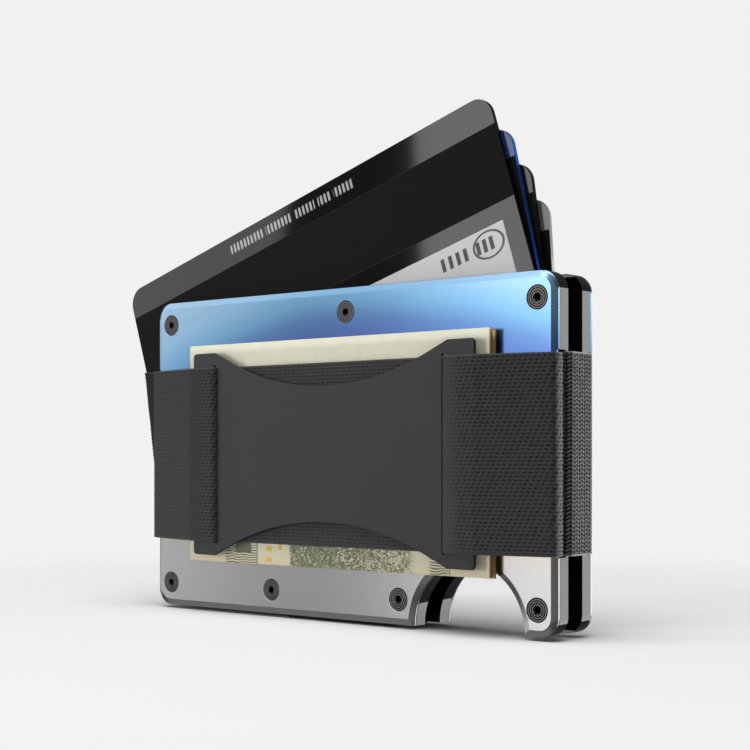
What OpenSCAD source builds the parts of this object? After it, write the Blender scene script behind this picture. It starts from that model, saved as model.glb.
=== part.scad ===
// Minimalist card wallet: two plate pairs held together by elastic, with a cash strap on the front.
// X runs along the wallet, Y through its thickness (the cash strap is at -Y), Z is up.
// The origin is the middle of the face that the wallet stands on, halfway through its thickness.

/* [Plates] */
// Length of the plates
plate_w = 85; // [84:0.5:90]
// Height of the plates
plate_h = 54; // [53.5:0.5:58]
// Corner radius of the plates
corner_r = 3; // [2:0.5:4]
// Thickness of a metal outer plate
outer_t = 0.85; // [0.8:0.05:1]
// Thickness of a black inner plate
inner_t = 2.3; // [2.2:0.1:3]
// Room for cards between the inner plates
card_gap = 3.85; // [3.8:0.05:6]
// Width of the bevel round an outer plate, seen from the front
bevel_w = 1.0; // [0.5:0.1:1.2]
// Depth of that bevel
bevel_d = 0.35; // [0.2:0.05:0.4]

/* [Thumb notch] */
// Radius of the half-round notch in the bottom edge
notch_r = 10.4; // [9:0.2:10.6]
// Distance of the notch from the middle of the wallet
notch_x = 26.3; // [25.8:0.1:26.5]

/* [Screws] */
// Diameter of a countersunk head
head_d = 3.7; // [3:0.1:3.8]
// Diameter of a shank
shank_d = 1.6; // [1.4:0.1:1.6]
// Distance of the corner screws from the plate's ends
screw_inset_x = 3.4; // [3.2:0.1:3.6]
// Distance of every screw from the plate's top or bottom edge
screw_inset_z = 4; // [3.6:0.1:4.2]

/* [Elastic] */
// Height of the cash strap and of the card band
strap_h = 30; // [24:1:30]
// Thickness of the cash strap
strap_t = 0.75; // [0.6:0.05:0.75]
// Thickness of the card band and of the bottom band
band_t = 0.7; // [0.6:0.05:0.7]
// Thickness of the card band where it is stretched round the cards' ends
band_end_t = 0.5; // [0.4:0.05:0.6]
// Width of the bottom band
bottom_band_w = 23.3; // [16:0.5:23.5]
// How far the bottom band stands below the plates
foot = 0.6; // [0.6:0.05:0.8]

/* [Bracket] */
// Length of the strap bracket
bracket_w = 60; // [58:0.5:60]
// Height of the bracket's end bars
bracket_h = 34.7; // [34:0.1:36]
// Height of the bracket's narrow middle
bracket_waist = 22.1; // [18:0.1:24]
// Thickness of the bracket
bracket_t = 0.6; // [0.5:0.05:0.7]

/* [Contents] */
// Length of a folded banknote
note_w = 64.5; // [60:0.5:66]
// Height of a folded banknote
note_h = 37.9; // [36:0.1:38.5]
// Thickness of a banknote folded in four
note_t = 0.56; // [0.4:0.02:0.56]
// Step between one card and the next, front to back
card_pitch = 0.93; // [0.8:0.01:0.94]

/* [Hidden] */

$fn = 48;
tiny = 0.05;
over = 1;

// Depths of the front half's faces; the back half mirrors them
stack = 2 * (outer_t + inner_t) + card_gap;
y_front = -stack / 2;
y_front_inner = y_front + outer_t;
y_gap_front = y_front_inner + inner_t;

// Screws as [x, z], z measured from the plates' bottom edge
corner_x = plate_w / 2 - screw_inset_x;
screw_places = [[-corner_x, plate_h - screw_inset_z], [2, plate_h - screw_inset_z],
                [corner_x, plate_h - screw_inset_z], [-corner_x, screw_inset_z],
                [-14.5, screw_inset_z], [13, screw_inset_z], [corner_x, screw_inset_z]];
head_h = 0.7;
screw_l = 2.1;
socket_r = 0.5;
socket_d = 0.4;
screw_gap = 0.03;

// The card band and the cash strap cross the plates at the same height
strap_z = 12;
channel_d = 3 * tiny + strap_t + band_t;
channel_h = strap_h + 0.4;
back_channel_d = band_t + 2 * tiny;
end_recess = 0.25;

// The bottom band, its two hems and the rods that hold them
bottom_band_x = 0.15;
bottom_run_t = foot - tiny;
hem_z = 8.2;
hem_r = 0.8;
rod_r = 0.4;
pocket_d = 1.8;
leg_top = hem_z;

// Front to back in front of the wallet: notes, strap, bracket, strap over the bracket's bars
y_note = y_front - tiny;
note_step = note_t + 0.02;
y_strap_behind = y_note - 3 * note_step - 0.02;
y_bracket = y_strap_behind - strap_t - tiny;
y_strap_over = y_bracket - bracket_t - tiny;
slot_x = 24.5;
slot_w = 1;
bar_edge = bracket_w / 2;
bracket_z = 26.95;

// Cards: ISO size, each as [tilt, x and z of the square lower left corner, z from the plates' edge]
card_w = 85.6;
card_h = 53.98;
card_t = 0.76;
card_r = 3.18;
card_poses = [[17.26, -37.9, 5.42], [13.15, -39.82, 5.22], [8.49, -42.35, 5.58], [4.01, -44.6, 6.02]];

// Inner faces of the card band's ends, where it stretches round the cards: on the left, x at its
// bottom and at its top, and on the right
bulge_low = -45.2;
bulge_high = -49.45;
band_right = 43.1;

// Draws an outline upright, its y upwards from the plates' bottom edge, from depth y over thickness t
module upright(y, t) {
    translate([0, y + t, foot]) rotate([90, 0, 0]) linear_extrude(t) children();
}

module rounded_rect(w, h, r) {
    translate([-w / 2 + r, 0]) square([w - 2 * r, h]);
    translate([-w / 2, r]) square([w, h - 2 * r]);
    for (x = [-w / 2 + r, w / 2 - r], z = [r, h - r]) translate([x, z]) circle(r);
}

module along_y(x, y, z) {
    translate([x, y, z + foot]) rotate([-90, 0, 0]) children();
}

// Bevelled sheet with its outer face at the front
module bevelled_plate() {
    w = plate_w;
    h = plate_h;
    upright(y_front + bevel_d, outer_t - bevel_d) rounded_rect(w, h, corner_r);
    translate([0, 0, foot + corner_r]) linear_extrude(h - 2 * corner_r) translate([0, y_front])
        polygon([[-w / 2, bevel_d], [-w / 2 + bevel_w, 0], [w / 2 - bevel_w, 0], [w / 2, bevel_d]]);
    translate([-w / 2 + corner_r, y_front, foot]) rotate([90, 0, 90]) linear_extrude(w - 2 * corner_r)
        polygon([[bevel_d, 0], [0, bevel_w], [0, h - bevel_w], [bevel_d, h]]);
    for (x = [-w / 2 + corner_r, w / 2 - corner_r], z = [corner_r, h - corner_r])
        along_y(x, y_front, z) cylinder(h = bevel_d, r1 = corner_r - bevel_w, r2 = corner_r);
}

module screw_holes(r) {
    for (p = screw_places) along_y(p[0], y_front - over, p[1]) cylinder(h = screw_l + over + 0.1, r = r);
}

// The front outer plate; the back one is its mirror image
module outer_plate() {
    difference() {
        bevelled_plate();
        along_y(notch_x, y_front - over, 0) cylinder(h = outer_t + 2 * over, r = notch_r, $fn = 96);
        along_y(notch_x, y_front, 0) cylinder(h = bevel_d, r1 = notch_r + bevel_w, r2 = notch_r, $fn = 96);
        screw_holes(shank_d / 2 + screw_gap);
        for (p = screw_places)
            along_y(p[0], y_front, p[1])
                cylinder(h = head_h, r1 = head_d / 2 + screw_gap, r2 = shank_d / 2 + screw_gap);
    }
}

// An inner plate at the front position, with the channels that hold the elastic in its outer face
module inner_plate(channel) {
    difference() {
        upright(y_front_inner, inner_t) rounded_rect(plate_w, plate_h, corner_r);
        along_y(notch_x, y_front_inner - over, 0) cylinder(h = inner_t + 2 * over, r = notch_r, $fn = 96);
        screw_holes(shank_d / 2 + screw_gap);
        translate([-plate_w / 2 - over, y_front_inner - over, foot + strap_z - 0.2])
            cube([plate_w + 2 * over, channel + over, channel_h]);
        translate([bottom_band_x - bottom_band_w / 2 - 0.1, y_front_inner - over, foot - over])
            cube([bottom_band_w + 0.2, back_channel_d + over, leg_top + over]);
        translate([bottom_band_x - bottom_band_w / 2 - 0.1, y_front_inner - over, foot + hem_z - hem_r - 0.1])
            cube([bottom_band_w + 0.2, pocket_d + over, 2 * hem_r + 0.2]);
    }
}

module front_outer_plate() {
    color("lightsteelblue") difference() {
        outer_plate();
        for (side = [-1, 1])
            translate([side * plate_w / 2 - end_recess, y_front - over, foot + strap_z - 0.2])
                cube([2 * end_recess, outer_t + 2 * over, channel_h]);
    }
}

module back_outer_plate() {
    color("lightsteelblue") mirror([0, 1, 0]) outer_plate();
}

module front_inner_plate() {
    color([0.04, 0.04, 0.04]) inner_plate(channel_d);
}

module back_inner_plate() {
    color([0.04, 0.04, 0.04]) mirror([0, 1, 0]) inner_plate(back_channel_d);
}

module socket_outline() {
    circle(socket_r * 0.7);
    for (a = [0:60:300]) rotate(a) translate([socket_r * 0.65, 0]) circle(socket_r * 0.35);
}

module screw() {
    difference() {
        union() {
            cylinder(h = head_h, r1 = head_d / 2, r2 = shank_d / 2);
            cylinder(h = screw_l, r = shank_d / 2);
        }
        translate([0, 0, -over]) linear_extrude(socket_d + over) socket_outline();
    }
}

module screws() {
    for (p = screw_places) along_y(p[0], y_front, p[1]) screw();
}

module front_screws() {
    color([0.2, 0.2, 0.21]) screws();
}

module back_screws() {
    color([0.2, 0.2, 0.21]) mirror([0, 1, 0]) screws();
}

// Loop of elastic in the inner plates' channels; its left end leans out round the fanned cards
module card_band() {
    y_run = y_front_inner + tiny + strap_t + tiny;
    y_end = -y_front_inner - tiny;
    t = band_end_t;
    right = band_right + t;
    low = strap_z;
    high = strap_z + strap_h;
    color([0.15, 0.15, 0.16]) {
        for (y = [y_run, y_end - band_t])
            upright(y, band_t) polygon([[bulge_low - t, low], [right, low], [right, high], [bulge_high - t, high]]);
        upright(y_run, y_end - y_run) translate([band_right, low]) square([t, strap_h]);
        upright(y_run, y_end - y_run)
            polygon([[bulge_low - t, low], [bulge_low, low], [bulge_high, high], [bulge_high - t, high]]);
    }
}

// Strip of elastic under the plates, with a hem round a steel rod at each end
module bottom_band() {
    left = bottom_band_x - bottom_band_w / 2;
    y_leg = y_front_inner + tiny;
    y_rod = y_leg + hem_r;
    color([0.12, 0.12, 0.13]) difference() {
        union() {
            translate([left, y_leg, 0]) cube([bottom_band_w, -2 * y_leg, bottom_run_t]);
            for (y = [y_leg, -y_leg - band_t])
                translate([left, y, 0]) cube([bottom_band_w, band_t, foot + leg_top]);
            for (y = [y_rod, -y_rod]) hem_cylinder(y, hem_r, bottom_band_w);
        }
        for (y = [y_rod, -y_rod]) hem_cylinder(y, rod_r + screw_gap, bottom_band_w + 2 * over);
    }
}

module hem_cylinder(y, r, l) {
    translate([bottom_band_x - l / 2, y, foot + hem_z]) rotate([0, 90, 0]) cylinder(h = l, r = r);
}

module front_band_pin() {
    color("silver") hem_cylinder(y_front_inner + tiny + hem_r, rod_r, bottom_band_w);
}

module back_band_pin() {
    color("silver") hem_cylinder(-y_front_inner - tiny - hem_r, rod_r, bottom_band_w);
}

// Half of the cash strap's loop seen from above, from behind the bracket round the plate's end.
// d is the distance from the strap's outer face: 0 gives the outer line, strap_t the inner one.
function strap_line(d) =
    let (end_x = plate_w / 2 - end_recess + tiny + strap_t - d,
         bend = strap_t + 0.35 - d,
         y_rear = y_front_inner + tiny + strap_t - d,
         y_bend = y_front - 0.3)
    [[slot_x - strap_t / 2 + d, y_strap_behind - strap_t + d],
     [slot_x - strap_t / 2 + d, y_strap_over - strap_t + d],
     [bar_edge + 0.3, y_strap_over - strap_t + d],
     for (a = [-70:20:0]) [end_x - bend + bend * cos(a), y_bend + bend * sin(a)],
     [end_x, y_rear]];

function mirrored(points) = [for (i = [len(points) - 1:-1:0]) [-points[i][0], points[i][1]]];

module strap_outline(d) {
    half = strap_line(d);
    polygon(concat(half, mirrored(half)));
}

module cash_strap() {
    color([0.17, 0.17, 0.18]) translate([0, 0, foot + strap_z]) linear_extrude(strap_h) difference() {
        strap_outline(0);
        strap_outline(strap_t);
    }
}

// Plate shaped like a dog bone; the strap comes up through its two slots and over its end bars
module bracket_outline() {
    tilt = 24.5;
    bar_x = 25;
    bite_h = (bracket_h - bracket_waist) / 2;
    bite_r = (bite_h - bar_x * tan(tilt)) / (1 - 1 / cos(tilt));
    difference() {
        translate([0, -bracket_h / 2]) rounded_rect(bracket_w, bracket_h, 0.7);
        for (side = [0, 1]) mirror([0, side]) translate([0, bracket_waist / 2]) {
            translate([0, bite_r]) circle(bite_r, $fn = 180);
            polygon([[-bite_r * sin(tilt), bite_r * (1 - cos(tilt))], [bite_r * sin(tilt), bite_r * (1 - cos(tilt))],
                     [bar_x, bite_h], [bar_x + 3, bite_h + 3 * tan(tilt)], [-bar_x - 3, bite_h + 3 * tan(tilt)],
                     [-bar_x, bite_h]]);
        }
        for (side = [-1, 1])
            translate([side * slot_x - slot_w / 2, -channel_h / 2]) square([slot_w, channel_h]);
    }
}

module strap_bracket() {
    color([0.24, 0.24, 0.25]) upright(y_bracket - bracket_t, bracket_t) translate([0, bracket_z]) bracket_outline();
}

module card(i, tint) {
    pose = card_poses[i];
    color(tint) upright(y_gap_front + tiny + i * card_pitch, card_t)
        translate([pose[1], pose[2]]) rotate(pose[0]) translate([card_w / 2, 0])
            rounded_rect(card_w, card_h, card_r);
}

module card_1() { card(0, [0.1, 0.1, 0.1]); }
module card_2() { card(1, [0.1, 0.25, 0.55]); }
module card_3() { card(2, [0.08, 0.08, 0.08]); }
module card_4() { card(3, [0.55, 0.55, 0.56]); }

// A banknote folded in four, its fold at the bottom; i counts from the back of the wad
module banknote(i, right, top) {
    y = y_note - (i + 1) * note_step + 0.01;
    color([0.8, 0.8, 0.7]) upright(y, note_t)
        translate([right - note_w / 2, top - note_h]) rounded_rect(note_w, note_h, 0.8);
}

module banknote_1() { banknote(2, 32.15, 46); }
module banknote_2() { banknote(1, 31.5, 45.4); }
module banknote_3() { banknote(0, 32.1, 45.6); }

front_outer_plate();
front_inner_plate();
back_inner_plate();
back_outer_plate();
front_screws();
back_screws();
card_band();
bottom_band();
front_band_pin();
back_band_pin();
cash_strap();
strap_bracket();
card_1();
card_2();
card_3();
card_4();
banknote_1();
banknote_2();
banknote_3();
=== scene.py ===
"""Looks of a minimalist card wallet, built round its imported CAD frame. Metres, +Z up, cash strap at -Y."""

import math

import bmesh
import bpy
import numpy as np
from mathutils import Matrix, Vector


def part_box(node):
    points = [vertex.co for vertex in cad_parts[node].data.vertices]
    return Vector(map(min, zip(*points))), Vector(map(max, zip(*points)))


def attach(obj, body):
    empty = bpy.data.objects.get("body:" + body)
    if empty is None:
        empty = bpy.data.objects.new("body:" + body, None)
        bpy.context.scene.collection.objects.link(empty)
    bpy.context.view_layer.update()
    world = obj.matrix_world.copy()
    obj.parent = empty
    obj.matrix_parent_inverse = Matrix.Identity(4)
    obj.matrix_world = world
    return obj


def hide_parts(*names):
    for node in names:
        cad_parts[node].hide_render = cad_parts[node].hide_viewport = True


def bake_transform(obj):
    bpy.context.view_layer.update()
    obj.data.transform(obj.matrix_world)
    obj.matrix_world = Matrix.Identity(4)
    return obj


MM = 0.001
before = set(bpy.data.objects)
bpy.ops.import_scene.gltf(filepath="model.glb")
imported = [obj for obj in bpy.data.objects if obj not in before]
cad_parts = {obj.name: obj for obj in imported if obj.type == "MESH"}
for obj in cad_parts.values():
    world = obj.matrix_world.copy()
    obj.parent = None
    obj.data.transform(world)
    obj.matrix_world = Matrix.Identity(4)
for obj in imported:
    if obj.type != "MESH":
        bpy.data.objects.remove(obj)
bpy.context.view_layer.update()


def edges(node):
    """A CAD node's lowest and highest corners at rest, in millimetres."""
    low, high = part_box(node)
    return low / MM, high / MM


FRONT_LOW, FRONT_HIGH = edges("front_outer_plate")
STRAP_LOW, STRAP_HIGH = edges("cash_strap")
BAND_LOW, BAND_HIGH = edges("card_band")
FOOT_LOW, FOOT_HIGH = edges("bottom_band")
_, BRACKET_HIGH = edges("strap_bracket")
NOTE_LOW, NOTE_HIGH = edges("banknote_1")

NOTE_FACE = NOTE_LOW.y
NOTE_END = NOTE_HIGH.x
FACE_Y = FRONT_LOW.y
EDGE_Z = FRONT_LOW.z
PLATE_END = FRONT_HIGH.x


# ---------------------------------------------------------------- camera

CAMERA_AZIMUTH = 39.535
CAMERA_PLACE = (163.67, FACE_Y - 188.3, 26.91 + EDGE_Z)
CAMERA_LENS = 73.42
CAMERA_SHIFT = 0.1058


def make_camera():
    data = bpy.data.cameras.new("camera")
    data.sensor_width = 36
    data.lens = CAMERA_LENS
    data.shift_y = CAMERA_SHIFT
    data.clip_start = 0.01
    camera = bpy.data.objects.new("camera", data)
    bpy.context.scene.collection.objects.link(camera)
    camera.location = Vector(CAMERA_PLACE) * MM
    camera.rotation_euler = (math.radians(90), 0, math.radians(CAMERA_AZIMUTH))
    bpy.context.scene.camera = camera


make_camera()
bpy.context.scene.view_settings.view_transform = "Standard"


# ---------------------------------------------------------------- node helpers

class Material:
    """A material's node tree, with short calls that add a node and return its output socket."""

    def __init__(self, name, color=(0.5, 0.5, 0.5), roughness=0.5, metallic=0.0, **sockets):
        self.data = bpy.data.materials.new(name)
        self.data.use_nodes = True
        self.tree = self.data.node_tree
        self.shader = self.tree.nodes["Principled BSDF"]
        self.shader.inputs["Base Color"].default_value = (*color, 1)
        self.shader.inputs["Roughness"].default_value = roughness
        self.shader.inputs["Metallic"].default_value = metallic
        for socket, value in sockets.items():
            self.shader.inputs[socket.replace("_", " ").title().replace("Ior", "IOR")].default_value = value

    def node(self, kind, inputs=(), **settings):
        made = self.tree.nodes.new("ShaderNode" + kind)
        for name, value in settings.items():
            setattr(made, name, value)
        for name, value in dict(inputs).items():
            if isinstance(value, bpy.types.NodeSocket):
                self.tree.links.new(value, made.inputs[name])
            else:
                made.inputs[name].default_value = value
        return made

    def math(self, operation, a, b=0.0, c=0.0):
        return self.node("Math", {0: a, 1: b, 2: c}, operation=operation).outputs[0]

    def place(self):
        """Object coordinates in millimetres, as X, Y, Z sockets."""
        coords = self.node("TexCoord").outputs["Object"]
        scaled = self.node("VectorMath", {0: coords, "Scale": 1 / MM}, operation="SCALE").outputs[0]
        parts = self.node("SeparateXYZ", {0: scaled}).outputs
        return parts[0], parts[1], parts[2]

    def vector(self, x=0.0, y=0.0, z=0.0):
        return self.node("CombineXYZ", {0: x, 1: y, 2: z}).outputs[0]

    def noise(self, size_mm, detail=2.0, vector=None, **inputs):
        """Noise whose grains are about size_mm across."""
        coords = vector or self.node("TexCoord").outputs["Object"]
        scale = 1 / (size_mm * MM) if vector is None else 1 / size_mm
        sockets = {"Vector": coords, "Scale": scale, "Detail": detail, **inputs}
        return self.node("TexNoise", sockets).outputs["Fac"]

    def ramp(self, fac, stops):
        made = self.node("ValToRGB", {0: fac})
        for place, color in stops:
            element = made.color_ramp.elements.new(place)
            element.color = (*color, 1)
        elements = made.color_ramp.elements
        elements.remove(elements[len(elements) - 1])
        elements.remove(elements[0])
        return made.outputs[0]

    def span(self, value, low, high, to_low=0.0, to_high=1.0):
        inputs = {"Value": value, "From Min": low, "From Max": high, "To Min": to_low, "To Max": to_high}
        return self.node("MapRange", inputs).outputs[0]

    def inside(self, value, low, high, soft=0.06):
        """1 between low and high, with edges soft wide."""
        rising = self.span(value, low - soft, low + soft)
        falling = self.span(value, high - soft, high + soft, 1.0, 0.0)
        return self.math("MULTIPLY", rising, falling)

    def mix(self, fac, a, b):
        made = self.node("Mix", data_type="RGBA")
        for socket, value in ((made.inputs[0], fac), (made.inputs[6], a), (made.inputs[7], b)):
            if isinstance(value, bpy.types.NodeSocket):
                self.tree.links.new(value, socket)
            else:
                socket.default_value = value if socket == made.inputs[0] else (*value, 1)
        return made.outputs[2]

    def to_shader(self, socket, value):
        self.tree.links.new(value, self.shader.inputs[socket])

    def bump(self, height, distance_mm, strength=1.0):
        inputs = {"Height": height, "Distance": distance_mm * MM, "Strength": strength}
        self.to_shader("Normal", self.node("Bump", inputs).outputs[0])


# ---------------------------------------------------------------- materials

def titanium():
    """Blasted titanium, coloured by heat: grey at the bottom, straw and violet behind the strap, and
    blue on top."""
    m = Material("heat_coloured_titanium", roughness=0.23, metallic=1.0)
    x, _, z = m.place()
    left = m.math("MULTIPLY", m.math("MINIMUM", x, 0.0), 0.08)
    right = m.math("MULTIPLY", m.math("MAXIMUM", x, 0.0), 0.06)
    rise = m.math("ADD", m.math("MULTIPLY", left, left), m.math("MULTIPLY", right, right))
    drift = m.span(m.noise(30, 1.0), 0.3, 0.7, -0.8, 0.8)
    lean = m.span(z, EDGE_Z + 6, EDGE_Z + 40)
    heat = m.math("ADD", m.math("ADD", z, m.math("MULTIPLY", rise, lean)), drift)
    reach = 64
    # Height in mm above the plate's bottom edge, and the metal's colour there
    stops = [(10, (0.31, 0.31, 0.31)), (15, (0.33, 0.305, 0.26)), (22, (0.28, 0.20, 0.14)),
             (32, (0.16, 0.08, 0.20)), (43, (0.085, 0.10, 0.28)), (47, (0.07, 0.13, 0.31)),
             (49, (0.085, 0.165, 0.335)), (52, (0.125, 0.27, 0.43)), (56, (0.20, 0.345, 0.49)),
             (62, (0.25, 0.38, 0.52))]
    share = m.span(heat, EDGE_Z, EDGE_Z + reach)
    color = m.ramp(share, [(stop / reach, tint) for stop, tint in stops])
    m.to_shader("Base Color", color)
    grain = m.noise(0.12, 3.0)
    m.to_shader("Roughness", m.span(grain, 0.3, 0.7, 0.20, 0.26))
    m.bump(grain, 0.004, 0.5)
    return m.data


def black_anodised():
    m = Material("black_anodised", (0.002, 0.002, 0.002), 0.05, 0.0, ior=1.5)
    grain = m.noise(0.6, 2.0)
    m.to_shader("Roughness", m.span(grain, 0.3, 0.7, 0.03, 0.06))
    return m.data


def dark_steel():
    """Turned steel: fine rings about each screw's own axis, and painted shade in its socket, which is
    painted near black and dull.
    """
    m = Material("turned_dark_steel", (0.09, 0.088, 0.085), 0.35, 1.0)
    x, y, z = m.place()
    radius = m.math("SQRT", m.math("ADD", m.math("MULTIPLY", x, x), m.math("MULTIPLY", z, z)))
    rings = m.math("SINE", m.math("MULTIPLY", radius, 2 * math.pi / 0.37))
    speck = m.noise(0.5, 2.0)
    shine = m.math("MULTIPLY", m.span(rings, -0.6, 0.8), m.span(speck, 0.3, 0.7, 0.5, 1.0))
    color = m.mix(shine, (0.003, 0.003, 0.003), (0.15, 0.147, 0.14))
    # Painted shade: deeper than 0.09 mm, in the socket's recess, the steel is painted near black.
    socket = m.span(y, 0.03, 0.09)
    m.to_shader("Base Color", m.mix(socket, color, (0.001, 0.001, 0.001)))
    m.to_shader("Roughness", m.span(socket, 0, 1, 0.33, 0.9))
    m.bump(m.math("ADD", rings, speck), 0.012, 0.6)
    return m.data


def bright_steel():
    m = Material("drawn_rod_steel", (0.55, 0.55, 0.56), 0.25, 1.0)
    x, _, _ = m.place()
    m.bump(m.noise(0.2, 2.0), 0.003, 0.3)
    m.to_shader("Roughness", m.span(m.math("SINE", m.math("MULTIPLY", x, 20.0)), -1, 1, 0.2, 0.3))
    return m.data


def charcoal_satin():
    m = Material("charcoal_satin", (0.03, 0.03, 0.03), 0.5, 0.0, specular_ior_level=0.25)
    grain = m.noise(0.1, 3.0)
    cloud = m.noise(6, 2.0)
    m.to_shader("Base Color", m.mix(cloud, (0.0172, 0.0172, 0.0174), (0.020, 0.020, 0.0202)))
    m.to_shader("Roughness", m.span(grain, 0.3, 0.7, 0.44, 0.6))
    m.bump(grain, 0.01, 0.45)
    return m.data


def woven(name, dark, light, painted_end_light=None, turn=0.2):
    """Elastic webbing. The mesh holds the weave; its depth attribute gives the gaps between the yarns
    painted shade.
    The colour after light is a paler tone painted where a band turns round the plates' right ends, from turn
    mm
    past them: a painted highlight where those ends catch the light."""
    m = Material(name, light, 0.85, 0.0, specular_ior_level=0.15, sheen_weight=0.06, sheen_roughness=0.5)
    depth = m.node("Attribute", attribute_name="weave").outputs["Fac"]
    fibre = m.noise(0.09, 4.0)
    shade = m.math("MULTIPLY", depth, m.span(fibre, 0.25, 0.75, 0.75, 1.1))
    x, _, _ = m.place()
    # Painted highlight: from turn mm past the plates' right ends the yarn takes the paler end colour.
    yarn = m.mix(m.span(x, PLATE_END + turn, PLATE_END + turn + 0.5), light, painted_end_light or light)
    # Painted shade: the weave attribute mixes the dark colour into the gaps between the yarns.
    m.to_shader("Base Color", m.mix(shade, dark, yarn))
    m.bump(fibre, 0.03, 0.6)
    return m.data


# ---------------------------------------------------------------- mesh helpers

def new_piece(name, verts, faces, material, smooth=True):
    mesh = bpy.data.meshes.new(name)
    mesh.from_pydata([tuple(v) for v in verts], [], faces)
    mesh.validate()
    obj = bpy.data.objects.new(name, mesh)
    bpy.context.scene.collection.objects.link(obj)
    mesh.materials.append(material)
    mesh.shade_smooth() if smooth else mesh.shade_flat()
    return obj


def finish_cad(node, material, bevel_mm=0.06, segments=2):
    """Gives a CAD node its material, and breaks its sharp edges with modifiers only."""
    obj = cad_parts[node]
    obj.data.materials.clear()
    obj.data.materials.append(material)
    obj.data.shade_smooth()
    obj.modifiers.new("weld", "WELD").merge_threshold = 2e-6
    if bevel_mm:
        flat = obj.modifiers.new("flat", "DECIMATE")
        flat.decimate_type = "DISSOLVE"
        flat.angle_limit = math.radians(0.5)
        bevel = obj.modifiers.new("bevel", "BEVEL")
        bevel.width = bevel_mm * MM
        bevel.segments = segments
        bevel.limit_method = "ANGLE"
        bevel.angle_limit = math.radians(18)
        bevel.use_clamp_overlap = True
    normals = obj.modifiers.new("normals", "WEIGHTED_NORMAL")
    normals.keep_sharp = False
    return obj


def filleted(corners, radii, spacings):
    """Points along a closed line through corners, each rounded by its radius. spacings gives the number of
    steps along the straight stretch after each corner. The number of points doesn't depend on the corners'
    places."""
    count = len(corners)
    parts = []
    for i in range(count):
        before, here, after = (np.array(corners[(i + k) % count], float) for k in (-1, 0, 1))
        a, b = before - here, after - here
        a, b = a / np.linalg.norm(a), b / np.linalg.norm(b)
        half = math.acos(float(np.clip(a @ b, -1, 1))) / 2
        cut = radii[i] / math.tan(half)
        start, end = here + a * cut, here + b * cut
        middle = here + (a + b) / np.linalg.norm(a + b) * radii[i] / math.sin(half)
        parts.append((start, end, middle))
    points = []
    for i, (start, end, middle) in enumerate(parts):
        radius, sweep = radii[i], 9
        first = math.atan2(*(start - middle)[::-1])
        turn = math.atan2(*(end - middle)[::-1]) - first
        turn = (turn + math.pi) % (2 * math.pi) - math.pi
        for k in range(sweep + 1):
            angle = first + turn * k / sweep
            points.append(middle + radius * np.array([math.cos(angle), math.sin(angle)]))
        following = parts[(i + 1) % count][0]
        steps = spacings[i]
        for k in range(1, steps):
            points.append(end + (following - end) * k / steps)
    return np.array(points)


def band_mesh(name, line_at, low, high, thickness, weave, material, rows=220, inner_rows=16):
    """A closed loop of webbing. line_at(share) gives its centre line at that share of its height, in
    millimetres, and weave(u, v, x) gives the surface at u along the line and v up it: 0 in a gap between
    yarns, 1 on a yarn."""
    radius = thickness / 2
    height = high - low
    profile = [(radius + (height - 2 * radius) * k / rows, radius, True) for k in range(rows + 1)]
    cap = [math.radians(a) for a in (22.5, 45, 67.5, 90, 112.5, 135, 157.5)]
    profile += [(height - radius + radius * math.sin(a), radius * math.cos(a), False) for a in cap]
    profile += [(height - radius - (height - 2 * radius) * k / inner_rows, -radius, False)
                for k in range(inner_rows + 1)]
    profile += [(radius - radius * math.sin(a), -radius * math.cos(a), False) for a in cap]
    rings = None
    verts, depths = [], []
    for v, offset, outer in profile:
        line = line_at(v / height)
        rings = len(line)
        along = np.roll(line, -1, 0) - np.roll(line, 1, 0)
        along /= np.linalg.norm(along, axis=1)[:, None]
        normal = np.stack([along[:, 1], -along[:, 0]], 1)
        u = np.concatenate([[0], np.cumsum(np.linalg.norm(np.diff(line, axis=0), axis=1))])
        depth = weave(u, np.full(rings, v), line[:, 0]) if outer else np.ones(rings)
        out = offset - (1 - depth) * WEAVE_DEPTH if outer else np.full(rings, offset)
        places = line + normal * out[:, None]
        verts.append(np.column_stack([places, np.full(rings, low + v)]))
        depths.append(depth)
    sides = len(profile)
    verts = np.concatenate(verts) * MM
    faces = []
    for j in range(sides):
        k = (j + 1) % sides
        for i in range(rings):
            n = (i + 1) % rings
            faces.append((j * rings + i, j * rings + n, k * rings + n, k * rings + i))
    obj = new_piece(name, verts, faces, material)
    # The material also paints shade into the yarns' gaps from this attribute.
    attribute = obj.data.attributes.new("weave", "FLOAT", "POINT")
    attribute.data.foreach_set("value", np.concatenate(depths).astype(np.float32))
    return obj


# ---------------------------------------------------------------- elastic

WEAVE_DEPTH = 0.14
STRAP_T = 0.72
BAND_T = 0.5
# Half the distance between the bracket's slots, and how far out the strap lies flat on its left bar
SLOT_X = 24.5
FLAT_X = 26.8


def uneven(u, v, column, row):
    """A share from 0 to 1 that is the same all over one cell of the weave and differs between cells."""
    cell = np.sin(np.floor(u / column) * 12.9898 + np.floor(v / row) * 78.233) * 43758.5453
    return cell - np.floor(cell)


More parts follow.
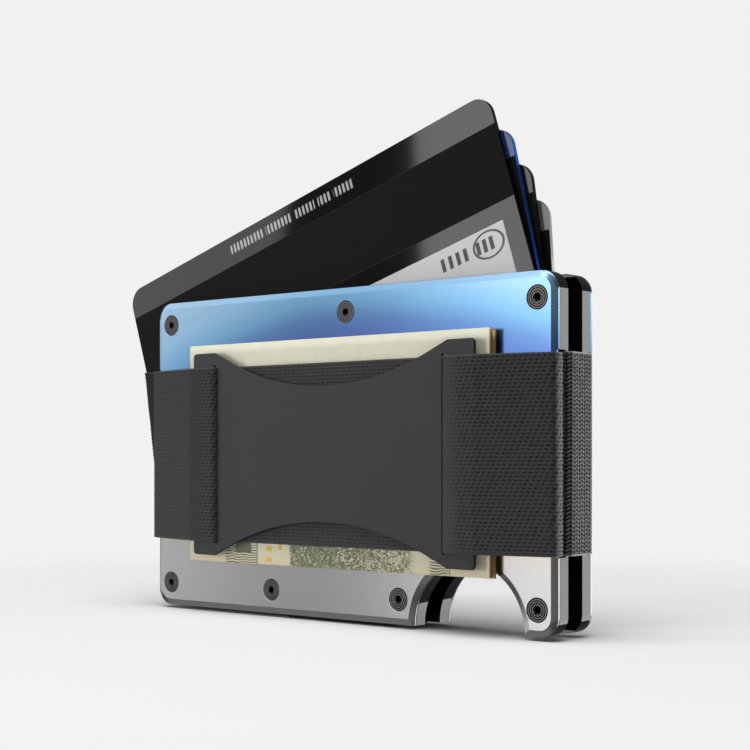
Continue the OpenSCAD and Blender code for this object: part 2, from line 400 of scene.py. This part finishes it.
def waffle(u, v, x):
    """Bricked rows of sunk dashes, which the material also darkens as painted shade. The weave closes up
    where the strap is pulled over the bracket's right bar. Near the left slot the dashes are full; beyond
    the left bar's flat they are weaker, showing less painted shade where the strap faces the light, and the
    strap lies lower and is painted darker there.
    In the right slot the strap is sunk and painted black, as painted shade for the slot's gap."""
    column, row = 0.92, 0.57
    shift = np.where(np.floor(v / row) % 2 == 0, 0.0, 0.5)
    across = 0.5 + 0.5 * np.cos(2 * np.pi * (u / column + shift + 0.22 * v / row))
    up = 0.5 - 0.5 * np.cos(2 * np.pi * v / row)
    dash = np.power(across, 0.45) * np.power(up, 0.6) * (0.65 + 0.35 * uneven(u, v, column / 2, row))
    rib = 0.25 * (0.5 + 0.5 * np.cos(4 * np.pi * u / column)) * up
    right = np.clip((x - SLOT_X - 0.5) / 3.0, 0.25, 1.0)
    # Painted light: weaker shade in the gaps beyond the left bar's flat, where the strap faces the light.
    left = np.where(x > -FLAT_X, 1.0, 0.4)
    behind = np.abs(x) < SLOT_X - 0.5
    hollow = (dash + rib) / 1.12 * np.where(behind, 0.8, np.where(x > 0, right, left))
    sunk = np.where(x < -FLAT_X, 0.26, 0.0)
    # Painted shade: at the right slot the strap is sunk and painted black to stand for the slot's dark gap.
    painted_slot_shade = np.abs(x - SLOT_X) < 0.32
    return np.where(painted_slot_shade, 0.0, 1 - sunk - hollow)


def herringbone(u, v, x, column=1.35, row=0.6):
    """Slanted stitches that lean one way in one half of each column and the other way in the next half."""
    share = np.abs((u / column) % 1.0 - 0.5) * 2
    slant = 0.5 + 0.5 * np.cos(2 * np.pi * (v / row + 0.8 * share))
    groove = np.power(share, 3) + np.power(1 - share, 3)
    level = 0.2 + 1.1 * slant * (0.75 + 0.25 * uneven(u, v, column / 2, row)) - 1.25 * groove
    return np.clip(level, 0, 1)


def strap_line(_share):
    """The cash strap's centre line: behind the bracket, up through the slots, over the bars, round the
    plate."""
    behind = BRACKET_HIGH.y + 0.05 + STRAP_T / 2
    over = STRAP_LOW.y + STRAP_T / 2
    rear = FRONT_HIGH.y + 0.05 + STRAP_T / 2
    bar = BRACKET_HIGH.x + 0.3
    end = STRAP_HIGH.x - STRAP_T / 2
    nose = FACE_Y - 0.75
    right_leg, left_leg = SLOT_X + 0.12, 0.16 - SLOT_X
    right = [(right_leg, behind), (right_leg, over), (bar, over), (end, nose), (end, rear)]
    left = [(left_leg, behind), (left_leg, over), (-bar, over), (-end, nose), (-end, rear)]
    corners = right + left[::-1]
    radii = [0.42, 0.2, 2.0, 0.9, 0.75, 0.75, 0.9, 2.0, 0.85, 0.42]
    steps = [4, 34, 84, 6, 40, 6, 84, 34, 4, 150]
    return filleted(corners, radii, steps)


def make_cash_strap(material):
    line = strap_line(0)
    strap = band_mesh("woven_cash_strap", lambda share: line, STRAP_LOW.z - 0.05, STRAP_HIGH.z - 0.17,
                      STRAP_T, waffle, material)
    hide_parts("cash_strap")
    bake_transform(strap)


def card_band_line(share):
    """The card band's centre line at a share of its height. Its left end leans out round the fanned
    cards."""
    right = BAND_HIGH.x - BAND_T / 2
    front = BAND_LOW.y + BAND_T / 2 + 0.1
    back = BAND_HIGH.y - BAND_T / 2 - 0.25
    nose_low, nose_high, heel_low, heel_high = -44.75, -49.7, -46.3, -49.0
    nose = nose_low + share * (nose_high - nose_low)
    heel = heel_low + share * (heel_high - heel_low)
    corners = [(-PLATE_END + 0.3, front), (right, front), (right, back), (-PLATE_END + 0.3, back),
               (heel, 1.95), (nose, -2.1)]
    return filleted(corners, [1.2, 1.1, 1.1, 1.2, 0.8, 0.8], [60, 40, 60, 18, 26, 30])


def make_card_band(material):
    band = band_mesh("knitted_card_band", card_band_line, BAND_LOW.z - 0.02, BAND_HIGH.z + 0.02, BAND_T,
                     herringbone, material)
    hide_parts("card_band")
    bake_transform(band)


def make_bottom_band(material):
    """A U of elastic under the plates. Its ends are folded round the rods inside the plates."""
    thickness = 0.5
    leg = FOOT_HIGH.y
    low = FOOT_LOW.z
    rod = 0.8
    top = FOOT_HIGH.z - 0.35
    fold = leg - 2 * rod + 0.5
    inside = leg - thickness - 0.03
    outer = [(-leg, low), (leg, low), (leg, top), (fold, top), (fold, top - 1.6), (inside, top - 2.4),
             (inside, low + thickness + 0.02)]
    inner = [(-y, z) for y, z in reversed(outer[2:])]
    corners = outer + inner
    radii = [0.45, 0.45, 0.4, 0.4, 0.3, 0.3, 0.1, 0.1, 0.3, 0.3, 0.4, 0.4]
    steps = [50, 40, 2, 4, 4, 20, 40, 20, 4, 4, 2, 40]
    ring = filleted(corners, radii, steps)
    width = FOOT_HIGH.x - FOOT_LOW.x
    columns = 150
    verts, depths = [], []
    along = np.roll(ring, -1, 0) - np.roll(ring, 1, 0)
    along /= np.linalg.norm(along, axis=1)[:, None]
    normal = np.stack([along[:, 1], -along[:, 0]], 1)
    u = np.concatenate([[0], np.cumsum(np.linalg.norm(np.diff(ring, axis=0), axis=1))])
    for k in range(columns + 1):
        x = FOOT_LOW.x + width * k / columns
        depth = herringbone(np.full(len(ring), x - FOOT_LOW.x), u, x, 0.9, 0.5)
        places = ring - normal * ((1 - depth) * 0.1)[:, None]
        verts.append(np.column_stack([np.full(len(ring), x), places]))
        depths.append(depth)
    rings = len(ring)
    faces = []
    for k in range(columns):
        for i in range(rings):
            n = (i + 1) % rings
            faces.append((k * rings + i, k * rings + n, (k + 1) * rings + n, (k + 1) * rings + i))
    faces.append(tuple(reversed(range(rings))))
    faces.append(tuple(columns * rings + i for i in range(rings)))
    band = new_piece("knitted_bottom_band", np.concatenate(verts) * MM, faces, material)
    attribute = band.data.attributes.new("weave", "FLOAT", "POINT")
    attribute.data.foreach_set("value", np.concatenate(depths).astype(np.float32))
    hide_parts("bottom_band")
    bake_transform(band)


# ---------------------------------------------------------------- stage and light

def make_floor():
    """A pale floor that fades into the backdrop, so that no horizon shows."""
    mesh = bpy.data.meshes.new("floor")
    made = bmesh.new()
    bmesh.ops.create_circle(made, cap_ends=True, segments=96, radius=1.2)
    made.to_mesh(mesh)
    made.free()
    floor = bpy.data.objects.new("floor", mesh)
    bpy.context.scene.collection.objects.link(floor)
    m = Material("pale_floor", (0.84, 0.84, 0.84), 0.9, 0.0, specular_ior_level=0.0)
    x, y, _ = m.place()
    away = m.math("SQRT", m.math("ADD", m.math("MULTIPLY", x, x), m.math("MULTIPLY", y, y)))
    fade = {"Value": away, "From Min": 70.0, "From Max": 190.0, "To Min": 1.0, "To Max": 0.0}
    m.to_shader("Alpha", m.node("MapRange", fade, interpolation_type="SMOOTHSTEP").outputs[0])
    mesh.materials.append(m.data)
    floor.visible_glossy = False
    floor.visible_shadow = False


def make_backdrop():
    """A plain sphere round everything that only the camera sees."""
    mesh = bpy.data.meshes.new("backdrop")
    made = bmesh.new()
    bmesh.ops.create_uvsphere(made, u_segments=48, v_segments=24, radius=4)
    made.to_mesh(mesh)
    made.free()
    drop = bpy.data.objects.new("backdrop", mesh)
    bpy.context.scene.collection.objects.link(drop)
    m = Material("backdrop", (0, 0, 0), 1.0, specular_ior_level=0.0)
    m.shader.inputs["Emission Color"].default_value = (0.8796, 0.8796, 0.8796, 1)
    m.shader.inputs["Emission Strength"].default_value = 1
    mesh.materials.append(m.data)
    for kind in ("diffuse", "glossy", "transmission", "volume_scatter", "shadow"):
        setattr(drop, "visible_" + kind, False)


def softbox(name, azimuth, elevation, distance, width, height, glow, target=(0, 0, 28)):
    """An area light that looks at target from that azimuth (0 is straight in front, 90 is from +X)."""
    data = bpy.data.lights.new(name, "AREA")
    data.shape = "RECTANGLE"
    data.size = width
    data.size_y = height
    data.energy = glow * math.pi * width * height
    light = bpy.data.objects.new(name, data)
    bpy.context.scene.collection.objects.link(light)
    a, e = math.radians(azimuth), math.radians(elevation)
    back = Vector((math.sin(a) * math.cos(e), -math.cos(a) * math.cos(e), math.sin(e)))
    light.location = Vector(target) * MM + back * distance
    light.rotation_euler = back.to_track_quat("Z", "Y").to_euler()
    return light


def make_light():
    world = bpy.data.worlds.new("studio")
    world.use_nodes = True
    bpy.context.scene.world = world
    background = world.node_tree.nodes["Background"]
    background.inputs[0].default_value = (1, 1, 1, 1)
    background.inputs[1].default_value = 0.12
    # Azimuth, elevation, distance, width, height, glow. The first five show in the glossy metal and cards.
    front_box = softbox("front_box", -27.6, 20, 2.0, 0.70, 2.6, 3.0)
    left_box = softbox("left_box", -65.6, 20, 2.0, 1.65, 2.6, 1.42)
    dim_box = softbox("dim_box", -4, 10, 2.0, 0.9, 2.0, 0.25)
    low_box = softbox("low_box", -38, -42, 2.0, 2.2, 1.2, 0.3)
    end_box = softbox("end_box", 147, -8, 0.7, 0.17, 0.55, 3.4)
    key = softbox("key", -42, 2, 0.7, 0.12, 0.3, 26)
    top = softbox("top", 24, 74, 0.9, 0.7, 0.7, 5.7)
    end_fill = softbox("end_fill", 141, -8, 0.7, 0.35, 0.12, 125)
    for light in (front_box, left_box, dim_box, low_box, end_box):
        light.visible_diffuse = False
    for light in (key, end_fill):
        light.visible_glossy = False


make_floor()
make_backdrop()
make_light()


# ---------------------------------------------------------------- screws

def screw_mesh():
    """A countersunk head with a six-lobed socket, its face at y = 0, turned outwards to -Y."""
    spokes = 72
    head_r, rim = 1.85, 0.05
    verts, faces = [], []

    def lobed(angle, size):
        return size * (1 + 0.16 * math.cos(6 * angle))

    rings = [(0.0, 0.42, False), (0.44, 0.42, True), (0.51, 0.40, True), (0.54, 0.05, True),
             (0.58, 0.0, True)]
    steps = 18
    rings += [(0.68 + (head_r - rim - 0.68) * k / steps, 0.014 * (k % 2), False) for k in range(steps + 1)]
    rings += [(head_r, rim, False), (0.8, 0.7, False), (0.8, 2.1, False), (0.0, 2.1, False)]
    for radius, depth, lobes in rings:
        for k in range(spokes):
            angle = 2 * math.pi * k / spokes
            r = lobed(angle, radius) if lobes else radius
            verts.append((r * math.cos(angle) * MM, depth * MM, r * math.sin(angle) * MM))
    for j in range(len(rings) - 1):
        for k in range(spokes):
            n = (k + 1) % spokes
            faces.append((j * spokes + k, (j + 1) * spokes + k, (j + 1) * spokes + n, j * spokes + n))
    mesh = bpy.data.meshes.new("screw")
    mesh.from_pydata(verts, [], faces)
    made = bmesh.new()
    made.from_mesh(mesh)
    bmesh.ops.remove_doubles(made, verts=made.verts, dist=1e-7)
    bmesh.ops.recalc_face_normals(made, faces=made.faces)
    made.to_mesh(mesh)
    made.free()
    mesh.shade_smooth()
    return mesh


def islands(obj):
    """Centres of the separate solids in a CAD node, from left to right and bottom to top."""
    made = bmesh.new()
    made.from_mesh(obj.data)
    bmesh.ops.remove_doubles(made, verts=made.verts, dist=1e-6)
    left, centres = set(made.verts), []
    while left:
        group, queue = set(), [left.pop()]
        while queue:
            vert = queue.pop()
            group.add(vert)
            for edge in vert.link_edges:
                other = edge.other_vert(vert)
                if other in left:
                    left.discard(other)
                    queue.append(other)
        low = Vector([min(v.co[i] for v in group) for i in range(3)])
        high = Vector([max(v.co[i] for v in group) for i in range(3)])
        centres.append((low + high) / 2)
    made.free()
    return sorted(centres, key=lambda c: (round(c.z, 4), c.x))


def make_screws(material):
    mesh = screw_mesh()
    mesh.materials.append(material)
    for node, body, face, turn in (("front_screws", "front_half", FACE_Y, 0),
                                   ("back_screws", "back_half", -FACE_Y, math.pi)):
        for i, centre in enumerate(islands(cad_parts[node])):
            screw = bpy.data.objects.new(f"{node[:-1]}_{i + 1}", mesh)
            bpy.context.scene.collection.objects.link(screw)
            spin = Matrix.Rotation(math.radians(17 * i + 8), 4, "Y")
            at = Matrix.Translation((centre.x, face * MM, centre.z))
            screw.matrix_world = at @ Matrix.Rotation(turn, 4, "Z") @ spin
            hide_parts(node)
            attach(screw, body)


# ---------------------------------------------------------------- cards

# An ISO ID-1 card, and its matt stripe's edges
CARD_W, CARD_H, CARD_T, CARD_R = 85.6, 53.98, 0.76, 3.18
STRIPE_LOW, STRIPE_HIGH = 37.0, 48.9


def bars(m, x, first, gaps, width):
    """A row of short bars in place of printed characters."""
    row = m.inside(x, first, first + width, 0.05)
    for gap in gaps:
        first += gap
        row = m.math("MAXIMUM", row, m.inside(x, first, first + width, 0.05))
    return row


def card_back_print():
    """A card's black back: a glossy body, a matt stripe, a pale panel to sign, and bars in place of
    words."""
    m = Material("card_black", (0.002, 0.002, 0.002), 0.06, 0.0, ior=1.5)
    x, y, z = m.place()
    face = m.span(y, 0.1, 0.06)
    stripe = m.math("MULTIPLY", m.inside(z, STRIPE_LOW, STRIPE_HIGH, 0.03), face)
    panel = m.math("MULTIPLY", m.inside(z, 22.5, 34.2, 0.04), m.inside(x, 40, 82.5, 0.04))
    panel = m.math("MULTIPLY", panel, face)
    words = m.math("MULTIPLY", m.inside(z, 50.9, 52.4, 0.15), m.inside(x, 27.2, 56.8, 0.05))
    words = m.math("MULTIPLY", words, face)
    letters = m.span(m.math("SINE", m.math("MULTIPLY", x, 7.4)), -0.4, 0.1)
    gaps = m.math("SUBTRACT", 1.0, bars(m, x, 35.2, (7.0, 5.6, 3.6), 0.8))
    words = m.math("MULTIPLY", words, m.math("MULTIPLY", letters, gaps))
    digits = bars(m, x, 69.6, (1.5, 1.5, 1.5, 2.5, 1.3, 1.3), 0.75)
    digits = m.math("MULTIPLY", digits, m.inside(z, 30.6, 32.7, 0.1))
    dx = m.math("MULTIPLY", m.math("SUBTRACT", x, 79.0), 0.72)
    dz = m.math("SUBTRACT", z, 31.6)
    ring = m.math("SQRT", m.math("ADD", m.math("MULTIPLY", dx, dx), m.math("MULTIPLY", dz, dz)))
    marks = m.math("MAXIMUM", digits, m.inside(ring, 1.9, 2.2, 0.06))
    color = m.mix(stripe, (0.002, 0.002, 0.002), (0.0085, 0.0085, 0.0085))
    color = m.mix(panel, color, (0.62, 0.62, 0.62))
    color = m.mix(m.math("MULTIPLY", marks, panel), color, (0.10, 0.10, 0.10))
    color = m.mix(m.math("MULTIPLY", words, 0.7), color, (0.6, 0.6, 0.6))
    m.to_shader("Base Color", color)
    matt = m.math("MAXIMUM", stripe, panel)
    m.to_shader("Roughness", m.math("MULTIPLY_ADD", matt, 0.6, 0.05))
    m.to_shader("Specular IOR Level", m.math("MULTIPLY_ADD", matt, -0.47, 0.5))
    return m.data


def card_plain(name, tint, edge_tint):
    """Another card of the same make, in its own colour: a glossy strip above a matt black stripe, and
    painted shade, near black, on the face under the stripe, where it lies behind the card in front.
    """
    m = Material(name, tint, 0.06, 0.0, ior=1.5)
    x, y, z = m.place()
    stripe = m.inside(z, STRIPE_LOW, STRIPE_HIGH, 0.03)
    face = m.math("MULTIPLY", m.span(y, 0.1, 0.06), m.inside(x, 0.05, CARD_W - 0.05, 0.02))
    # Painted shade: under the stripe the face is painted near black as well.
    painted_shade_below = m.span(z, STRIPE_LOW + 0.03, STRIPE_LOW - 0.03)
    dark = m.math("MULTIPLY", face, m.math("MAXIMUM", stripe, painted_shade_below))
    color = m.mix(face, edge_tint, tint)
    m.to_shader("Base Color", m.mix(dark, color, (0.003, 0.003, 0.003)))
    m.to_shader("Roughness", m.math("MULTIPLY_ADD", m.math("MULTIPLY", face, stripe), 0.5, 0.06))
    m.to_shader("Specular IOR Level", m.math("MULTIPLY_ADD", m.math("MULTIPLY", face, stripe), -0.45, 0.5))
    return m.data


def rounded_outline(width, height, radius, steps=10):
    points = []
    for cx, cz, first in ((width - radius, radius, -90), (width - radius, height - radius, 0),
                          (radius, height - radius, 90), (radius, radius, 180)):
        for k in range(steps + 1):
            angle = math.radians(first + 90 * k / steps)
            points.append((cx + radius * math.cos(angle), cz + radius * math.sin(angle)))
    return points


def make_card(node, body, material):
    """A card in its own frame, x along it and z up from its lower left corner, then laid where the CAD
    card is."""
    edge = 0.07
    verts, faces = [], []
    levels = [(0.0, edge), (edge * 0.3, edge * 0.3), (edge, 0.0), (CARD_T - edge, 0.0),
              (CARD_T - edge * 0.3, edge * 0.3), (CARD_T, edge)]
    for y, inset in levels:
        outline = rounded_outline(CARD_W - 2 * inset, CARD_H - 2 * inset, CARD_R - inset)
        verts += [((x + inset) * MM, y * MM, (z + inset) * MM) for x, z in outline]
    count = len(verts) // len(levels)
    for j in range(len(levels) - 1):
        for k in range(count):
            n = (k + 1) % count
            faces.append((j * count + k, j * count + n, (j + 1) * count + n, (j + 1) * count + k))
    faces.append(tuple(reversed(range(count))))
    faces.append(tuple((len(levels) - 1) * count + k for k in range(count)))
    card = new_piece("printed_" + node, verts, [tuple(reversed(f)) for f in faces], material, smooth=False)
    co = np.array([v.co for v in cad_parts[node].data.vertices])
    card.matrix_world = card_matrix(co)
    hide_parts(node)
    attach(card, body)
    return card


def card_matrix(co):
    """Where a card's square lower left corner is and how far it is tilted, from the CAD solid's own
    points: at the right tilt its height is least."""
    best = None
    low, high = 0.0, math.radians(30)
    for _ in range(40):
        middle = (low + high) / 2
        along = co[:, 0] * math.cos(middle) + co[:, 2] * math.sin(middle)
        upward = co[:, 2] * math.cos(middle) - co[:, 0] * math.sin(middle)
        best = (middle, along.min(), upward.min())
        step = 1e-4
        wider = extent(co, middle + step) > extent(co, middle)
        low, high = (low, middle) if wider else (middle, high)
    tilt, u, v = best
    cos, sin = math.cos(tilt), math.sin(tilt)
    corner = Vector((u * cos - v * sin, co[:, 1].min(), u * sin + v * cos))
    return Matrix.Translation(corner) @ Matrix.Rotation(-tilt, 4, "Y")


def extent(co, tilt):
    """How high a card's points reach across it when its tilt is taken to be tilt."""
    upward = co[:, 2] * math.cos(tilt) - co[:, 0] * math.sin(tilt)
    return upward.max() - upward.min()


def make_cards():
    make_card("card_1", "card_one", card_back_print())
    for node, body, slot, tint, edge_tint in (
            ("card_2", "card_two", "card_blue", (0.012, 0.04, 0.16), (0.006, 0.05, 0.22)),
            ("card_3", "card_three", "card_dark", (0.01, 0.01, 0.01), (0.003, 0.003, 0.003)),
            ("card_4", "card_four", "card_grey", (0.10, 0.10, 0.10), (0.14, 0.14, 0.14))):
        make_card(node, body, card_plain(slot, tint, edge_tint))


# ---------------------------------------------------------------- banknotes

def paper():
    """Cream paper with green engraving on its folded front: a stippled cloud, scrollwork and a block, and
    no lettering."""
    m = Material("note_paper", (0.62, 0.62, 0.50), 0.8, 0.0, specular_ior_level=0.2)
    x, y, z = m.place()
    flat = m.vector(x, 0.0, z)
    mottled = m.mix(m.noise(1.5, 3.0), (0.60, 0.59, 0.46), (0.68, 0.67, 0.55))
    # Darker and browner towards the bottom: from 20 mm above the plates' bottom edge, fully so from 9 mm
    # down.
    warm = m.mix(m.span(z, EDGE_Z + 20, EDGE_Z + 9), mottled, (0.54, 0.49, 0.35))
    front = m.span(y, NOTE_FACE + 0.25, NOTE_FACE + 0.15)
    low = m.math("MULTIPLY", m.span(z, EDGE_Z + 20, EDGE_Z + 19), front)
    ink_dark, ink_light = (0.012, 0.03, 0.013), (0.06, 0.10, 0.045)
    cloud = m.noise(5.0, 2.0, flat)
    edge = m.math("ADD", m.math("MULTIPLY", cloud, 3.0), x)
    body = m.math("MULTIPLY", m.span(edge, -7.3, -6.6), m.span(edge, 19.6, 17.6))
    grains = {"Vector": flat, "Scale": 1.9, "Detail": 3.0, "Distortion": 2.2}
    stipple = m.node("TexNoise", grains).outputs["Fac"]
    thick = m.math("ADD", stipple, m.span(edge, 0.0, 16.0, 0.03, -0.04))
    dots = m.math("MULTIPLY", m.span(thick, 0.41, 0.49), body)
    tint = m.mix(cloud, ink_dark, ink_light)
    waves = {"Vector": flat, "Scale": 0.75, "Distortion": 7.0, "Detail": 1.0, "Detail Scale": 0.5}
    scroll = m.node("TexWave", waves, wave_type="RINGS").outputs["Fac"]
    lines = m.span(scroll, 0.55, 0.35)
    left_zone = m.math("MULTIPLY", m.inside(x, -23.6, -16.2, 0.3), m.span(z, EDGE_Z + 12, EDGE_Z + 11.5))
    right_zone = m.math("MULTIPLY", m.inside(x, 20.6, 24.2, 0.3), m.span(z, EDGE_Z + 11.8, EDGE_Z + 11.3))
    block = m.inside(z, EDGE_Z + 10.2, EDGE_Z + 14, 0.1)
    block = m.math("MULTIPLY", m.inside(x, -21.2, -17.4, 0.12), block)
    rules = m.math("MAXIMUM", m.inside(x, -16.3, -15.9, 0.08), m.inside(x, 24.3, 24.55, 0.06))
    ink = m.math("MAXIMUM", dots, m.math("MULTIPLY", lines, m.math("MAXIMUM", left_zone, right_zone)))
    ink = m.math("MAXIMUM", ink, m.math("MAXIMUM", block, m.math("MULTIPLY", rules, 0.7)))
    color = m.mix(m.math("MULTIPLY", ink, m.math("MULTIPLY", low, 0.85)), warm, tint)
    seal = None
    for left, right, foot, top in ((-13.9, -12.7, 8.9, 9.6), (-13.9, -12.7, 10.7, 11.5),
                                   (-11.2, -10.3, 11.0, 12.0)):
        mark = m.inside(z, EDGE_Z + foot, EDGE_Z + top, 0.15)
        mark = m.math("MULTIPLY", m.inside(x, left, right, 0.15), mark)
        seal = m.math("MAXIMUM", seal, mark) if seal else mark
    seal = m.math("MULTIPLY", seal, low)
    color = m.mix(m.math("MULTIPLY", seal, 0.9), color, (0.60, 0.36, 0.02))
    # The notes' right edges: partly their own brown-orange tint, partly painted shade that makes them
    # darker.
    edge_tint_and_shade = m.span(x, NOTE_END - 0.55, NOTE_END - 0.2)
    m.to_shader("Base Color", m.mix(edge_tint_and_shade, color, (0.36, 0.21, 0.08)))
    m.bump(m.noise(0.15, 3.0), 0.02, 0.4)
    return m.data


def make_note(node, material, seed, foot):
    """A note folded in four: two nested folds of paper, open at the top, with edges that don't quite meet.
    foot lifts its fold above the CAD note's."""
    low, high = edges(node)
    low.z = NOTE_LOW.z + foot
    sheets = [(0.0, 1.0), (0.27, 0.73)]
    paper_t = 0.09
    thickness = high.y - low.y
    columns, rows = 48, 26
    verts, faces = [], []
    dice = np.random.default_rng(seed)
    for near, far in sheets:
        y0 = low.y + near * thickness + paper_t / 2
        y1 = low.y + far * thickness - paper_t / 2
        bend = (y1 - y0) / 2
        right_trim, top_trim = dice.uniform(0, 0.35, 2)
        right_trim2, top_trim2 = dice.uniform(0, 0.35, 2)
        line = []
        for k in range(rows):
            line.append((0, k / rows))
        for k in range(9):
            line.append((1, k / 8))
        for k in range(1, rows + 1):
            line.append((2, k / rows))
        base = len(verts)
        spread = [0.0, 0.001, 0.003, 0.006, 0.01]
        shares = spread + [k / columns for k in range(1, columns)] + [1 - v for v in reversed(spread)]
        for share in shares:
            for part, t in line:
                side = 0 if part == 0 else 1 if part == 2 else t
                trim = right_trim + side * (right_trim2 - right_trim)
                x = low.x + 0.02 + share * (high.x - low.x - 0.04 - trim)
                ends = min(x - low.x, high.x - x)
                corner = 0.45
                lift = corner - math.sqrt(corner ** 2 - (corner - min(ends, corner)) ** 2)
                bottom = low.z + lift + bend + paper_t / 2 + near * thickness
                if part == 0:
                    z, y = high.z - top_trim - (high.z - top_trim - bottom) * t, y0
                elif part == 1:
                    angle = math.pi * t
                    z, y = bottom - bend * math.sin(angle), (y0 + y1) / 2 - bend * math.cos(angle)
                else:
                    z, y = bottom + (high.z - top_trim2 - bottom) * t, y1
                verts.append((x * MM, y * MM, z * MM))
        per = len(line)
        for i in range(len(shares) - 1):
            for j in range(per - 1):
                a = base + i * per + j
                faces.append((a, a + per, a + per + 1, a + 1))
    note = new_piece("folded_" + node, verts, faces, material)
    solid = note.modifiers.new("paper", "SOLIDIFY")
    solid.thickness = paper_t * MM
    solid.offset = 0
    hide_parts(node)
    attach(note, "banknotes")


# ---------------------------------------------------------------- build

def main():
    metal = titanium()
    black = black_anodised()
    for node in ("front_outer_plate", "back_outer_plate"):
        finish_cad(node, metal)
    for node in ("front_inner_plate", "back_inner_plate"):
        finish_cad(node, black, 0.12)
    finish_cad("strap_bracket", charcoal_satin(), 0.08)
    rods = bright_steel()
    for node in ("front_band_pin", "back_band_pin"):
        finish_cad(node, rods, 0)
    make_screws(dark_steel())
    make_cards()
    note_paper = paper()
    for i, foot in ((1, 0.25), (2, 0.35), (3, 0.15)):
        make_note(f"banknote_{i}", note_paper, i, foot)
    # The last colour of each webbing is a painted highlight on its right end.
    webbing = woven("charcoal_webbing", (0.003, 0.003, 0.003), (0.046, 0.046, 0.0465),
                    (0.085, 0.085, 0.085))
    make_cash_strap(webbing)
    knitted = woven("black_knit", (0.004, 0.004, 0.004), (0.036, 0.036, 0.0365), (0.18, 0.18, 0.181),
                    turn=-1.1)
    make_card_band(knitted)
    # The bottom band is the same knit painted much darker, as painted shade for its place under the plates.
    make_bottom_band(woven("black_knit_painted_shade", (0.001, 0.001, 0.001), (0.008, 0.008, 0.008)))


main()
